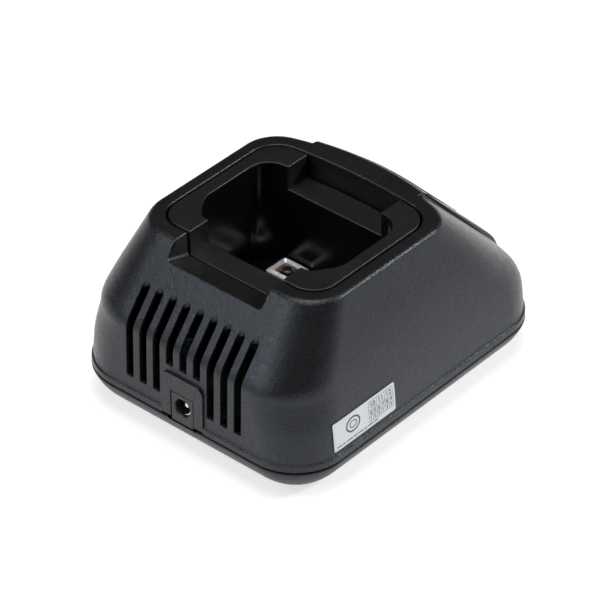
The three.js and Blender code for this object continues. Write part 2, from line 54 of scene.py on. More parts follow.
# ---------------------------------------------------------------- driving sizes
LENGTH = 128.0
SEAM = 11.3
BASE_H = 10.3
BODY_H = 51.06
LIP = 0.5
WALL = 2.4
RIM_HALF, RIM_REAR, RIM_FRONT = 38.4, 20.0, 91.3
REAR_SLOPE = 0.794
SIDE_BREAK, FRONT_BREAK = 20.0, 15.5
FRONT_TURN = 72.0
PANEL_PROUD = 1.7
GAP = 0.3
SEEN_GAP = 0.75  # the gap that shows round the pocket
POCKET_HALF, POCKET_REAR, POCKET_FRONT = 33.05, 26.1, 83.3
WELL_HALF, WELL_REAR, WELL_FRONT, WELL_FLOOR = 28.4, 35.4, 73.1, 12.4
SEAT = 13.0
NOTCH_HALF, NOTCH_FLOOR = 19.2, 42.1
SLOT_PITCH, SLOT_W, SLOT_TOP = 5.65, 2.9, 38.9
JACK_W, JACK_AXIS, JACK_BORE = 9.0, 6.0, 6.2
BOARD_TOP = -0.5
POSTS = [(37, 32), (-37, 32), (37, 93), (-37, 93)]
FEET = [(31, 17), (-31, 17), (31, 110), (-31, 110)]
STANDOFFS = [(25, 22), (-25, 22), (25, 104), (-25, 104)]
CONTACTS = {"left": 15.05, "right": -15.05}
CONTACT_D = 67.6


def Y(d):
    return LENGTH / 2 - d


def Z(h):
    return SEAM + h


# ---------------------------------------------------------------- form functions
def smin(a, b, k):
    h = min(1.0, max(0.0, 0.5 + 0.5 * (b - a) / k))
    return b * (1 - h) + a * h - k * h * (1 - h)


def sizes(h):
    t = min(1.0, max(0.0, h / 24))
    half = smin(
        49.1 - 0.6 * t,
        RIM_HALF + (BODY_H - h) * (48.5 - RIM_HALF) / (BODY_H - SIDE_BREAK),
        6,
    )
    rear = -smin(-(0.5 + 0.5 * t), -(RIM_REAR - REAR_SLOPE * (BODY_H - h)), 1.9)
    tf = min(1.0, max(0.0, h / FRONT_BREAK))
    front = smin(
        127.5 - 0.9 * tf,
        RIM_FRONT + (BODY_H - h) * (126.6 - RIM_FRONT) / (BODY_H - FRONT_BREAK),
        4,
    )
    u = min(1.0, max(0.0, (BODY_H - h) / (BODY_H - 24)))
    s = min(1.0, max(0.0, (24 - h) / 12))
    return half, rear, front, 14 + 6 * u - 2 * s * s * (3 - 2 * s), 13 + 5 * u


def frame_of(h):
    half, rear, front, rr, rf = sizes(h)
    ph = math.radians(FRONT_TURN)
    xc = half - rf
    R = (xc + rf * math.cos(ph)) / math.cos(ph)
    yc = front - R * (1 - math.sin(ph)) - rf * math.sin(ph)
    return half, rear, front, rr, rf, ph, xc, yc, R, front - R


def section(h, off, n=16, nf=24):
    half, rear, front, rr, rf, ph, xc, yc, R, Yc = frame_of(h)
    a, b, c, xr = rr - off, rf - off, R - off, half - rr
    p = []
    for k in range(n + 1):
        t = math.radians(-90 + 90 * k / n)
        p.append((xr + a * math.cos(t), rear + rr + a * math.sin(t)))
    for k in range(n + 1):
        t = ph * k / n
        p.append((xc + b * math.cos(t), yc + b * math.sin(t)))
    for k in range(1, nf):
        t = ph + (math.pi - 2 * ph) * k / nf
        p.append((c * math.cos(t), Yc + c * math.sin(t)))
    for k in range(n + 1):
        t = math.pi - ph + ph * k / n
        p.append((-xc + b * math.cos(t), yc + b * math.sin(t)))
    for k in range(n + 1):
        t = math.radians(180 + 90 * k / n)
        p.append((-xr + a * math.cos(t), rear + rr + a * math.sin(t)))
    return [(-x, Y(d)) for x, d in p]


def outside(x, d, h):
    """How far the point stands outside the plain form at its own height, measured level."""
    half, rear, front, rr, rf, ph, xc, yc, R, Yc = frame_of(h)
    x = abs(x)
    xr = half - rr
    if d < rear + rr:
        if x > xr:
            return math.hypot(x - xr, d - rear - rr) - rr
        return max(rear - d, x - half)
    if d < yc:
        return x - half
    t = math.atan2(d - yc, x - xc)
    if t < ph and x > xc:
        return math.hypot(x - xc, d - yc) - rf
    return math.hypot(x, d - Yc) - R


# ---------------------------------------------------------------- mesh helpers
def obj_from(name, verts, faces):
    me = bpy.data.meshes.new(name)
    me.from_pydata([tuple(map(float, v)) for v in verts], [], [tuple(f) for f in faces])
    me.update()
    o = bpy.data.objects.new(name, me)
    scene.collection.objects.link(o)
    bm = bmesh.new()
    bm.from_mesh(me)
    bmesh.ops.recalc_face_normals(bm, faces=bm.faces)
    bm.to_mesh(me)
    bm.free()
    return o


def loft(loops, name="loft"):
    n = len(loops[0])
    verts = [p for loop in loops for p in loop]
    faces = []
    for s in range(len(loops) - 1):
        for i in range(n):
            j = (i + 1) % n
            a, b = s * n + i, s * n + j
            faces.append((a, b, b + n, a + n))
    faces.append(tuple(reversed(range(n))))
    faces.append(tuple((len(loops) - 1) * n + i for i in range(n)))
    return obj_from(name, verts, faces)


def hoop(loops, name="hoop"):
    """A closed band: the last loop joins the first."""
    n, m = len(loops[0]), len(loops)
    verts = [p for loop in loops for p in loop]
    faces = [
        (s * n + i, s * n + (i + 1) % n, ((s + 1) % m) * n + (i + 1) % n, ((s + 1) % m) * n + i)
        for s in range(m)
        for i in range(n)
    ]
    return obj_from(name, verts, faces)


def ring(h, off, z=None, n=16, nf=24):
    return [(x, y, Z(h) if z is None else z) for x, y in section(h, off, n, nf)]


def slab(points, z0, z1, name="slab"):
    return loft([[(x, y, z) for x, y in points] for z in (z0, z1)], name)


def wall_cut(points, y0, y1, name="wall"):
    """Outline in X-Z carried along Y."""
    return loft([[(x, y, z) for x, z in points] for y in (y0, y1)], name)


def block(x0, x1, y0, y1, z0, z1, name="block"):
    return slab([(x0, y0), (x1, y0), (x1, y1), (x0, y1)], z0, z1, name)


def circle(x, y, r, n, turn=0.0):
    return [
        (x + r * math.cos(2 * math.pi * k / n + turn), y + r * math.sin(2 * math.pi * k / n + turn))
        for k in range(n)
    ]


def post(x, y, z0, z1, r, n=32, r2=None):
    return loft(
        [
            [(a, b, z0) for a, b in circle(x, y, r, n)],
            [(a, b, z1) for a, b in circle(x, y, r if r2 is None else r2, n)],
        ],
        "post",
    )


def rod(x, y0, y1, z, r, n=32):
    return loft([[(a, y, b) for a, b in circle(x, z, r, n)] for y in (y0, y1)], "rod")


def lathe(profile, x, y, n=48, name="lathe"):
    """profile: (radius, z) from the axis back to the axis; its two ends are on the axis."""
    verts, faces = [], []
    rows = []
    for r, z in profile:
        if r < 1e-6:
            rows.append([len(verts)])
            verts.append((x, y, z))
        else:
            rows.append(list(range(len(verts), len(verts) + n)))
            verts += [(a, b, z) for a, b in circle(x, y, r, n)]
    for p, q in zip(rows, rows[1:]):
        for i in range(n):
            j = (i + 1) % n
            if len(p) == 1 and len(q) == 1:
                continue
            if len(p) == 1:
                faces.append((p[0], q[i], q[j]))
            elif len(q) == 1:
                faces.append((p[i], q[0], p[j]))
            else:
                faces.append((p[i], q[i], q[j], p[j]))
    return obj_from(name, verts, faces)


def round4(x0, x1, y0, y1, radii, n=10):
    """Rounded rectangle, radii in the order +x-y, +x+y, -x+y, -x-y."""
    out = []
    for (x, y, a, sx, sy), r in zip(
        [(x1, y0, -90, -1, 1), (x1, y1, 0, -1, -1), (x0, y1, 90, 1, -1), (x0, y0, 180, 1, 1)],
        radii,
    ):
        if r < 0.01:
            out.append((x, y))
            continue
        for k in range(n + 1):
            t = math.radians(a + 90 * k / n)
            out.append((x + sx * r + r * math.cos(t), y + sy * r + r * math.sin(t)))
    return out


def bake(o):
    """Applies the modifiers."""
    dg = bpy.context.evaluated_depsgraph_get()
    dg.update()
    me = bpy.data.meshes.new_from_object(
        o.evaluated_get(dg), preserve_all_data_layers=True, depsgraph=dg
    )
    old = o.data
    o.modifiers.clear()
    o.data = me
    bpy.data.meshes.remove(old)
    return o


def drop(*objs):
    for o in objs:
        me = o.data
        bpy.data.objects.remove(o)
        bpy.data.meshes.remove(me)


def boolean(o, tool, op="DIFFERENCE"):
    m = o.modifiers.new("bool", "BOOLEAN")
    m.operation = op
    m.object = tool
    m.solver = "EXACT"
    bake(o)
    drop(tool)
    return o


def cut(o, *tools):
    for t in tools:
        boolean(o, t)
    return o


def add(o, *tools):
    for t in tools:
        boolean(o, t, "UNION")
    return o


def joined(*objs):
    """Several solids that don't touch, as one tool."""
    bm = bmesh.new()
    for o in objs:
        bm.from_mesh(o.data)
    me = bpy.data.meshes.new("joined")
    bm.to_mesh(me)
    bm.free()
    drop(*objs)
    o = bpy.data.objects.new("joined", me)
    scene.collection.objects.link(o)
    return o


def soften(o, width, segments=3, angle=32, where=None, clean=0.004, sharp=36):
    """Rounds the convex edges that where(middle) picks: it returns a share of the width, 0 for none. The edges left over stay crisp."""
    bm = bmesh.new()
    bm.from_mesh(o.data)
    bmesh.ops.remove_doubles(bm, verts=bm.verts, dist=clean)
    bmesh.ops.dissolve_degenerate(bm, edges=bm.edges, dist=clean)
    layer = bm.edges.layers.float.get("bevel_weight_edge") or bm.edges.layers.float.new(
        "bevel_weight_edge"
    )
    limit = math.radians(angle)
    for e in bm.edges:
        e[layer] = 0.0
        if len(e.link_faces) != 2 or not e.is_convex:
            continue
        if e.calc_face_angle(0.0) < limit:
            continue
        w = 1.0 if where is None else where((e.verts[0].co + e.verts[1].co) / 2, e)
        e[layer] = float(w)
    bm.to_mesh(o.data)
    bm.free()
    if width:
        m = o.modifiers.new("bevel", "BEVEL")
        m.limit_method = "WEIGHT"
        m.offset_type = "OFFSET"
        m.width = width
        m.segments = segments
        m.use_clamp_overlap = False
        m.loop_slide = True
        bake(o)
    return shade(o, sharp)


def shade(o, sharp=36):
    bm = bmesh.new()
    bm.from_mesh(o.data)
    bmesh.ops.remove_doubles(bm, verts=bm.verts, dist=0.0008)
    bmesh.ops.dissolve_degenerate(bm, edges=bm.edges, dist=0.0008)
    lim = math.radians(sharp)
    for f in bm.faces:
        f.smooth = True
    for e in bm.edges:
        e.smooth = not (len(e.link_faces) == 2 and e.calc_face_angle(0.0) > lim)
    layer = bm.edges.layers.float.get("bevel_weight_edge")
    if layer:
        bm.edges.layers.float.remove(layer)
    bm.to_mesh(o.data)
    bm.free()
    m = o.modifiers.new("wn", "WEIGHTED_NORMAL")
    m.keep_sharp = True
    m.weight = 50
    bake(o)
    return o


def piece(o, name, body, mats, nodes=(), pick=None):
    """Turns the finished mesh into metres, gives it its materials and puts it on its body. pick(centre, normal) returns the material's index."""
    o.name = name
    o.data.name = name
    o.data.transform(Matrix.Scale(0.001, 4))
    o.data.materials.clear()
    for m in mats:
        o.data.materials.append(m)
    if pick:
        for p in o.data.polygons:
            p.material_index = pick(p.center * 1000, p.normal)
    else:
        for p in o.data.polygons:
            p.material_index = 0
    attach(o, body)
    if nodes:
        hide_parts(*nodes)
    return o


# ---------------------------------------------------------------- materials
class Tree:
    def __init__(self, name):
        self.mat = bpy.data.materials.new(name)
        self.mat.use_nodes = True
        self.nt = self.mat.node_tree
        self.nt.nodes.clear()
        self.out = self.nt.nodes.new("ShaderNodeOutputMaterial")
        self.bsdf = self.nt.nodes.new("ShaderNodeBsdfPrincipled")
        self.nt.links.new(self.bsdf.outputs[0], self.out.inputs[0])
        self.coord = self.nt.nodes.new("ShaderNodeTexCoord").outputs["Object"]

    def node(self, kind, **values):
        n = self.nt.nodes.new(kind)
        for k, v in values.items():
            setattr(n, k, v)
        return n

    def link(self, a, b):
        self.nt.links.new(a, b)

    def mapped(self, scale, rotate=(0, 0, 0)):
        m = self.node("ShaderNodeMapping")
        m.inputs["Scale"].default_value = scale if hasattr(scale, "__len__") else (scale,) * 3
        m.inputs["Rotation"].default_value = rotate
        self.link(self.coord, m.inputs["Vector"])
        return m.outputs[0]

    def noise(self, scale, detail=3.0, rough=0.5, vector=None):
        n = self.node("ShaderNodeTexNoise")
        n.inputs["Scale"].default_value = scale
        n.inputs["Detail"].default_value = detail
        n.inputs["Roughness"].default_value = rough
        self.link(vector or self.coord, n.inputs["Vector"])
        return n.outputs["Fac"]

    def voronoi(self, scale, vector=None, feature="F1", smooth=None, out="Distance"):
        n = self.node("ShaderNodeTexVoronoi", feature=feature)
        n.inputs["Scale"].default_value = scale
        if smooth is not None and "Smoothness" in n.inputs:
            n.inputs["Smoothness"].default_value = smooth
        self.link(vector or self.coord, n.inputs["Vector"])
        return n.outputs[out]

    def math(self, op, a, b=None, clamp=False):
        n = self.node("ShaderNodeMath", operation=op, use_clamp=clamp)
        for i, v in enumerate((a, b)):
            if v is None:
                continue
            if isinstance(v, (int, float)):
                n.inputs[i].default_value = v
            else:
                self.link(v, n.inputs[i])
        return n.outputs[0]

    def ramp(self, value, low, high, a=0.0, b=1.0):
        n = self.node("ShaderNodeMapRange")
        n.inputs["From Min"].default_value = low
        n.inputs["From Max"].default_value = high
        n.inputs["To Min"].default_value = a
        n.inputs["To Max"].default_value = b
        self.link(value, n.inputs["Value"])
        return n.outputs[0]

    def mix(self, fac, a, b):
        n = self.node("ShaderNodeMix", data_type="RGBA")
        self.link(fac, n.inputs["Factor"])
        for i, v in ((6, a), (7, b)):
            if hasattr(v, "links"):
                self.link(v, n.inputs[i])
            else:
                n.inputs[i].default_value = (*v, 1)
        return n.outputs[2]

    def bump(self, height, distance, strength=1.0, normal=None):
        n = self.node("ShaderNodeBump")
        n.inputs["Strength"].default_value = strength
        n.inputs["Distance"].default_value = distance
        self.link(height, n.inputs["Height"])
        if normal:
            self.link(normal, n.inputs["Normal"])
        return n.outputs[0]

    def set(self, **v):
        for k, x in v.items():
            s = self.bsdf.inputs[k.replace("_", " ")]
            if hasattr(x, "links"):
                self.link(x, s)
            else:
                s.default_value = (*x, 1) if hasattr(x, "__len__") and len(x) == 3 else x
        return self.mat


def moulded(name, colour, rough, grain=0.42, depth=0.03, var=0.18, spec=0.44, fine=0.12, cool=0.0, pit_spec_shade=0.0):
    """Moulded plastic with an eroded leather grain, with painted shade in the grain's pits. grain and depth are in
    millimetres.
    """
    t = Tree(name)
    k = 1000 / grain
    cells = t.voronoi(k, feature="SMOOTH_F1", smooth=0.6)
    pebble = t.noise(k * 1.25, 3.0, 0.6)
    tooth = t.noise(1000 / fine, 2.0, 0.6)
    height = t.math("ADD", t.math("MULTIPLY", cells, 0.5), t.math("MULTIPLY", pebble, 0.9))
    height = t.math("ADD", height, t.math("MULTIPLY", tooth, 0.14))
    broad = t.noise(55, 4.0, 0.6)
    patch = t.noise(420, 3.0, 0.5)
    tone = t.ramp(broad, 0.3, 0.7)
    dark = tuple(c * (1 - var) for c in colour)
    light = tuple(c * (1 + var) for c in colour)
    base = t.mix(tone, dark, light)
    # painted shade: the base colour is darkened to 0.82 of itself in the pits of the grain
    pit_shade = t.ramp(height, 0.35, 0.75)
    base = t.mix(pit_shade, tuple(c * 0.82 for c in colour), base)
    r = t.math("ADD", t.ramp(patch, 0.3, 0.7, rough - 0.035, rough + 0.035), t.ramp(broad, 0.3, 0.7, -0.02, 0.02))
    # painted shade and sheen: the specular level is lowered in the grain's pits and raised on its peaks
    shine = t.ramp(height, 0.42, 1.0, spec * (1 - pit_spec_shade), spec * (1 + pit_spec_shade))
    return t.set(
        Base_Color=base,
        Roughness=r,
        Specular_IOR_Level=shine,
        Specular_Tint=(1 - cool, 1 - 0.55 * cool, 1.0),
        Normal=t.bump(height, depth * 0.001),
    )


def polished(name, colour, rough=0.16, spec=0.5, wave=0.004):
    """Gloss moulded plastic: faint flow waviness and hairline handling marks."""
    t = Tree(name)
    flow = t.noise(90, 2.0, 0.4)
    micro = t.noise(2600, 2.0, 0.5)
    hair = t.noise(300, 3.0, 0.6, t.mapped((1, 1, 9)))
    marks = t.ramp(hair, 0.45, 0.8, 0.0, 0.03)
    base = t.mix(t.ramp(flow, 0.3, 0.7), tuple(c * 0.8 for c in colour), tuple(c * 1.25 for c in colour))
    height = t.math("ADD", t.math("MULTIPLY", flow, 1.0), t.math("MULTIPLY", micro, 0.08))
    return t.set(
        Base_Color=base,
        Roughness=t.math("ADD", t.ramp(micro, 0.3, 0.7, rough - 0.03, rough + 0.04), marks),
        Specular_IOR_Level=spec,
        Normal=t.bump(height, wave * 0.001 * 10),
    )


def metal(name, colour, rough=0.2, var=0.12, stretch=(1, 1, 14), scale=500, depth=0.004):
    t = Tree(name)
    streak = t.noise(scale, 4.0, 0.6, t.mapped(stretch))
    cloud = t.noise(700, 3.0, 0.5)
    base = t.mix(
        t.ramp(cloud, 0.3, 0.7), tuple(c * (1 - var) for c in colour), tuple(min(1, c * (1 + var * 0.5)) for c in colour)
    )
    return t.set(
        Base_Color=base,
        Metallic=1.0,
        Roughness=t.math("ADD", t.ramp(streak, 0.3, 0.7, rough - 0.06, rough + 0.08), t.ramp(cloud, 0.3, 0.7, -0.03, 0.03)),
        Normal=t.bump(streak, depth * 0.001),
    )


def coated(name, colour, rough=0.4, scale=1200, depth=0.006, var=0.15, metallic=0.0, transmission=0.0):
    """Generic procedural finish for lacquers, ceramics, laminates and mouldings inside."""
    t = Tree(name)
    fine = t.noise(scale, 4.0, 0.6)
    broad = t.noise(scale * 0.12, 3.0, 0.5)
    base = t.mix(t.ramp(broad, 0.3, 0.7), tuple(c * (1 - var) for c in colour), tuple(min(1, c * (1 + var)) for c in colour))
    return t.set(
        Base_Color=base,
        Metallic=metallic,
        Roughness=t.ramp(fine, 0.3, 0.7, max(0.02, rough - 0.06), rough + 0.06),
        Transmission_Weight=transmission,
        Normal=t.bump(fine, depth * 0.001),
    )


M = {}
M["housing"] = moulded("black_abs_leather_grain", (0.0085, 0.0085, 0.0094), 0.28, grain=0.55, depth=0.12, spec=0.39, cool=0.16, pit_spec_shade=0.3)
M["rim"] = moulded("black_abs_fine_matt", (0.0085, 0.0082, 0.008), 0.35, grain=0.5, depth=0.08, pit_spec_shade=0.4)
M["base"] = moulded("black_abs_base", (0.007, 0.007, 0.0075), 0.36, grain=0.5, depth=0.05, spec=0.2, cool=0.08)
M["pocket"] = moulded("black_abs_pocket_top", (0.0095, 0.009, 0.0086), 0.36, grain=0.5, depth=0.13, pit_spec_shade=0.4)
M["well"] = polished("black_abs_polished", (0.0035, 0.0035, 0.0038), 0.2)
M["nickel"] = metal("bright_nickel", (0.83, 0.84, 0.87), 0.16)
M["bronze"] = metal("dark_bronze", (0.2, 0.115, 0.07), 0.32, stretch=(9, 9, 1))
M["spring"] = metal("spring_wire", (0.6, 0.61, 0.63), 0.24)
M["inlet"] = moulded("black_nylon", (0.016, 0.016, 0.0165), 0.36, grain=0.22, depth=0.008)
M["screw"] = metal("zinc_steel", (0.5, 0.5, 0.52), 0.32)
M["rubber"] = moulded("black_rubber", (0.02, 0.02, 0.02), 0.78, grain=0.3, depth=0.02, spec=0.35)
M["board"] = coated("green_laminate", (0.004, 0.022, 0.01), 0.45)
# painted shade: the capacitor sleeves are near black and the fuse lacquer darkened, standing in for the shade inside
# the housing behind the vent slots
M["sleeve"] = coated("dark_sleeve", (0.005, 0.007, 0.014), 0.45)
M["ferrite"] = coated("grey_ferrite", (0.06, 0.055, 0.05), 0.55)
M["epoxy"] = coated("moulding_compound", (0.02, 0.02, 0.022), 0.5)
M["cement"] = coated("cement_ceramic", (0.5, 0.48, 0.43), 0.8, depth=0.03)
M["fuse"] = coated("ochre_lacquer", (0.16, 0.08, 0.025), 0.4)
M["aluminium"] = metal("aluminium_extrusion", (0.45, 0.46, 0.47), 0.42)
M["red"] = coated("red_epoxy", (0.55, 0.02, 0.02), 0.15, transmission=0.4)
M["green"] = coated("green_epoxy", (0.03, 0.45, 0.1), 0.15, transmission=0.4)
M["clear"] = coated("clear_polycarbonate", (0.9, 0.93, 0.94), 0.12, transmission=0.85, var=0.03)


def dimpled():
    """Pressed and plated sheet: bright and a little uneven, with pink and blue patches in its colour that paint
    coloured reflections.
    """
    t = Tree("bright_nickel_frame")
    dent = t.noise(750, 2.0, 0.5)
    fine = t.noise(2800, 3.0, 0.6)
    reflection_patches = t.noise(420, 2.0, 0.5)
    # painted reflection: pink and blue patches mixed into the base colour
    base = t.mix(t.ramp(reflection_patches, 0.38, 0.62), (0.97, 0.86, 0.84), (0.84, 0.93, 0.99))
    height = t.math("ADD", t.math("MULTIPLY", dent, 0.8), t.math("MULTIPLY", fine, 0.16))
    return t.set(
        Base_Color=base,
        Metallic=0.6,
        Roughness=t.ramp(fine, 0.3, 0.7, 0.34, 0.5),
        Normal=t.bump(height, 0.00022),
    )


M["frame"] = dimpled()


# ---------------------------------------------------------------- top housing
def arc(n, a0=0.0, a1=90.0):
    return [math.radians(a0 + (a1 - a0) * k / n) for k in range(n + 1)]


RIM_ROUND_L, RIM_ROUND_H = 1.25, 1.2  # level and upright size of the rounding under the rim
ROWS = (
    list(np.arange(3.6, 20.0, 1.25))
    + list(np.arange(20.0, 33.0, 0.65))
    + list(np.arange(33.2, BODY_H - RIM_ROUND_H - 0.3, 1.3))
)


def rim_rows(off):
    return [
        (BODY_H - RIM_ROUND_H * (1 - math.sin(t)), off + RIM_ROUND_L * (1 - math.cos(t)))
        for t in arc(8)
    ]


def outer_levels():
    L = [(0.55 - 0.3 * math.cos(t), -0.2 - 0.3 * math.sin(t)) for t in arc(4)]
    L += [(2.28 + 0.27 * math.sin(t), -0.5 + 0.27 * (1 - math.cos(t))) for t in arc(4)]
    L += [(2.66, -0.12), (2.74, -0.04), (2.9, 0.0)]
    L += [(h, 0.0) for h in ROWS]
    return L + rim_rows(0.0)


def build_housing():
    o = loft([ring(h, off) for h, off in outer_levels()], "housing")
    # raised front panel
    rows = [h for h in ROWS if h > 10.5]
    form = loft([ring(h, off) for h, off in [(h, -PANEL_PROUD) for h in rows] + rim_rows(-PANEL_PROUD)], "form")
    trap = wall_cut([(-26.3, Z(12.3)), (26.3, Z(12.3)), (21.4, Z(60)), (-21.4, Z(60))], Y(LENGTH), Y(84))
    boolean(form, trap, "INTERSECT")
    boolean(o, form, "UNION")
    # jack boss, flush with the lip
    boolean(o, wall_cut(round4(-8.7, 8.7, Z(2.4), Z(17.5), [0, 3, 3, 0], 8), Y(3), Y(0.03)), "UNION")
    cavity = loft(
        [ring(-1, WALL, Z(-1))]
        + [ring(h, WALL) for h in (4, 9, 14, 18, 21, 23, 25, 27, 29, 31, 35, 40, 48.3)],
        "cavity",
    )
    cut(o, cavity)
    # collar round the pocket, tray behind the finger cut-out, posts
    inner = slab(pocket_outline(GAP + 1.7, 12), Z(38), Z(49.5))
    add(inner, block(-22, 22, Y(27), Y(12), Z(39.6), Z(49.5)))
    for x, d in POSTS:
        add(inner, post(x, Y(d), Z(0.3), Z(49), 3.5, 24))
    within = loft([ring(h, 0.6) for h in (0.3, 14, 18, 21, 23, 25, 27, 29, 31, 36, 44, 50.2)], "within")
    boolean(inner, within, "INTERSECT")
    boolean(o, inner, "UNION")
    cut(o, slab(pocket_outline(SEEN_GAP, 20), Z(30), Z(60)))
    # finger cut-out through the rear of the rim
    loops = []
    for half, floor, r, d in [
        (NOTCH_HALF + 0.3, 49.4, 1.4, 2),
        (NOTCH_HALF + 0.3, 45.4, 1.4, 15.2),
        (NOTCH_HALF + 0.3, 42.9, 1.4, 23.6),
        (NOTCH_HALF + 0.3, NOTCH_FLOOR, 1.4, 26.2),
        (NOTCH_HALF + 0.3, NOTCH_FLOOR, 1.4, 33),
    ]:
        # only the two lower corners are round
        pts = []
        for sx, a0 in ((-1, 180), (1, 270)):
            for k in range(11):
                t = math.radians(a0 + 9 * k)
                pts.append((sx * (half - r) + r * math.cos(t), Z(floor) + r + r * math.sin(t)))
        pts += [(half, Z(70)), (-half, Z(70))]
        loops.append([(x, Y(d), z) for x, z in pts])
    cut(o, loft(loops, "cutout"))
    # vent slots
    end = RIM_REAR - REAR_SLOPE * (BODY_H - SLOT_TOP)
    tools = []
    for i in range(-4, 5):
        x, r = i * SLOT_PITCH, SLOT_W / 2
        low = 7.1 if abs(i) > 1 else 19.6
        c = 0.6
        loops = []
        for t in arc(4):
            w, z = r - c * (1 - math.sin(t)), Z(low) + c * (1 - math.cos(t))
            loops.append((w, z))
        loops.append((r, Z(48)))
        tools.append(
            loft(
                [
                    [(x - w, Y(-4), z)]
                    + [
                        (x - w * math.cos(a), Y(end - r + r * math.sin(a)), z)
                        for a in [math.pi * k / 18 for k in range(19)]
                    ]
                    + [(x + w, Y(-4), z)]
                    for w, z in loops
                ],
                "slot",
            )
        )
    cut(o, joined(*tools))
    # the wall is thinner behind the vents
    thin = loft([ring(h, 1.45) for h in (5, 9, 14, 18, 21, 23, 25, 27, 29, 31, 35, 41)], "thin")
    boolean(thin, joined(block(-25, -10, Y(22), Y(-3), Z(6.2), Z(39.9)), block(10, 25, Y(22), Y(-3), Z(6.2), Z(39.9))), "INTERSECT")
    cut(o, thin)
    thin = loft([ring(h, 1.45) for h in (5, 9, 14, 18, 21, 23, 25, 27, 29, 31, 35, 41)], "thin")
    boolean(thin, block(-10.4, 10.4, Y(22), Y(-3), Z(18.6), Z(39.9)), "INTERSECT")
    cut(o, thin)
    # window for the inlet, and the thicker seam under the boss
    cut(o, block(-JACK_W / 2 - GAP, JACK_W / 2 + GAP, Y(6), Y(-3), Z(-1), Z(JACK_AXIS + 5.1)))
    cut(
        o,
        joined(
            block(-8.7, -4, Y(3.4), Y(-3), Z(-1), Z(0.95)),
            block(4, 8.7, Y(3.4), Y(-3), Z(-1), Z(0.95)),
        ),
    )
    cut(o, joined(*[post(x, Y(108), Z(26), Z(45), 1.8, 32) for x in (-6, 6)]))

    def where(p, e):
        x, d, h = p.x, Y(0) - p.y, p.z - SEAM
        if h < 2.95 and not (abs(x) < 9.2 and d < 5):
            return 0.0
        if h > 50.9:
            return 1.6
        out = outside(x, d, h)
        if out > -0.7:
            if abs(x) < 9.3 and d < 4 and h < 3.2:
                return 0.4 if abs(x) < 5.2 else 0.0
            if h < 40 and d < 16 and abs(x) < 25:
                return 0.55
            return 1.0
        if h > 41 and abs(x) < 20.6 and d < 26.8:
            return 0.8
        return 0.0

    return soften(o, 0.4, 4, 30, where)


def pocket_outline(grow, n=14):
    h, r = POCKET_HALF + grow, 8.4 + grow
    y0, y1, bow = POCKET_REAR - grow, POCKET_FRONT + grow, 2.6
    pts = round4(-h, h, y0, y1, [r] * 4, n)
    out = []
    for i, p in enumerate(pts):
        q = pts[(i + 1) % len(pts)]
        if p[1] > 80 and q[1] > 80 and abs(p[0] - q[0]) > 20:
            out += [(p[0] + (q[0] - p[0]) * k / 24, p[1]) for k in range(24)]
        else:
            out.append(p)
    return [
        (
            -x,
            Y(d - (bow * (x / POCKET_HALF) ** 2 * min(1, (d - 60) / (y1 - 60 - r / 2)) if d > 60 else 0)),
        )
        for x, d in out
    ]


# ---------------------------------------------------------------- base pan
def build_base():
    def pan(drop_, inset):
        return ring(0, -LIP + inset, Z(-drop_))


    prof = [(0.15, 0.32), (0.17, 0.2), (0.24, 0.09), (0.35, 0.02), (0.5, 0.0), (0.65, 0.0)]

    sweep = np.linspace(21.5, 53.0, 18)
    prof += [
        (
            0.65 + 20 * (math.sin(math.radians(v)) - math.sin(math.radians(20))),
            20 * (math.cos(math.radians(20)) - math.cos(math.radians(v))),
        )
        for v in sweep
    ]
    prof += [(9.95, 7.25), (10.12, 7.5), (10.24, 7.85), (BASE_H, 8.3)]
    o = loft([pan(*q) for q in reversed(prof)], "base")
    cut(
        o,
        loft(
            [pan(BASE_H - 2, 9.3), pan(6, 6.6), pan(3, 4.4), pan(1.2, 3.3), pan(-1, 3.3)],
            "hollow",
        ),
    )
    tongue = loft([pan(2, 3.2), pan(-1.4, 3.2)], "tongue")
    cut(tongue, loft([pan(3, 4.4), pan(-3, 4.4)], "inner"))
    add(o, tongue)
    for x, d in POSTS:
        add(o, post(x, Y(d), Z(-9), Z(0), 4.2, 32))
    for x, d in STANDOFFS:
        add(o, post(x, Y(d), Z(-9), Z(BOARD_TOP - 1.6 - GAP), 3, 24))
    cut(o, block(-6, 6, Y(14), Y(-1), Z(-0.75), Z(3)))
    cut(o, block(-9.2, 9.2, Y(14), Y(2.4), Z(-0.75), Z(3)))
    cut(o, joined(*[post(x, Y(d), Z(-12), Z(-6.4), 3.2, 40) for x, d in POSTS]))
    cut(o, joined(*[post(x, Y(d), Z(-8), Z(2), 1.7, 24) for x, d in POSTS]))
    cut(o, joined(*[post(x, Y(d), Z(-7.6), Z(2), 1.2, 20) for x, d in STANDOFFS]))
    cut(o, joined(*[post(x, Y(d), Z(-12), Z(-BASE_H + 0.9), 5.3, 64) for x, d in FEET]))
    cut(o, slab(round4(-22, 22, Y(84), Y(52), [1.2] * 4, 6), Z(-12), Z(-BASE_H + 0.35)))

    def where(p, e):
        return 1.0 if p.z < Z(-BASE_H) + 0.01 else 0.0

    return soften(o, 0.25, 3, 40, where)


# ---------------------------------------------------------------- charging pocket
def smooth_line(points, steps=7):
    """A Catmull-Rom line through the points."""
    P = [np.array(p, float) for p in points]
    P = [2 * P[0] - P[1]] + P + [2 * P[-1] - P[-2]]
    out = []
    for i in range(1, len(P) - 2):
        a, b, c, d = P[i - 1 : i + 3]
        for k in range(steps):
            t = k / steps
            out.append(
                0.5 * (2 * b + (c - a) * t + (2 * a - 5 * b + 4 * c - d) * t * t + (3 * b - a - 3 * c + d) * t**3)
            )
    out.append(P[-2])
    return [tuple(p) for p in out]


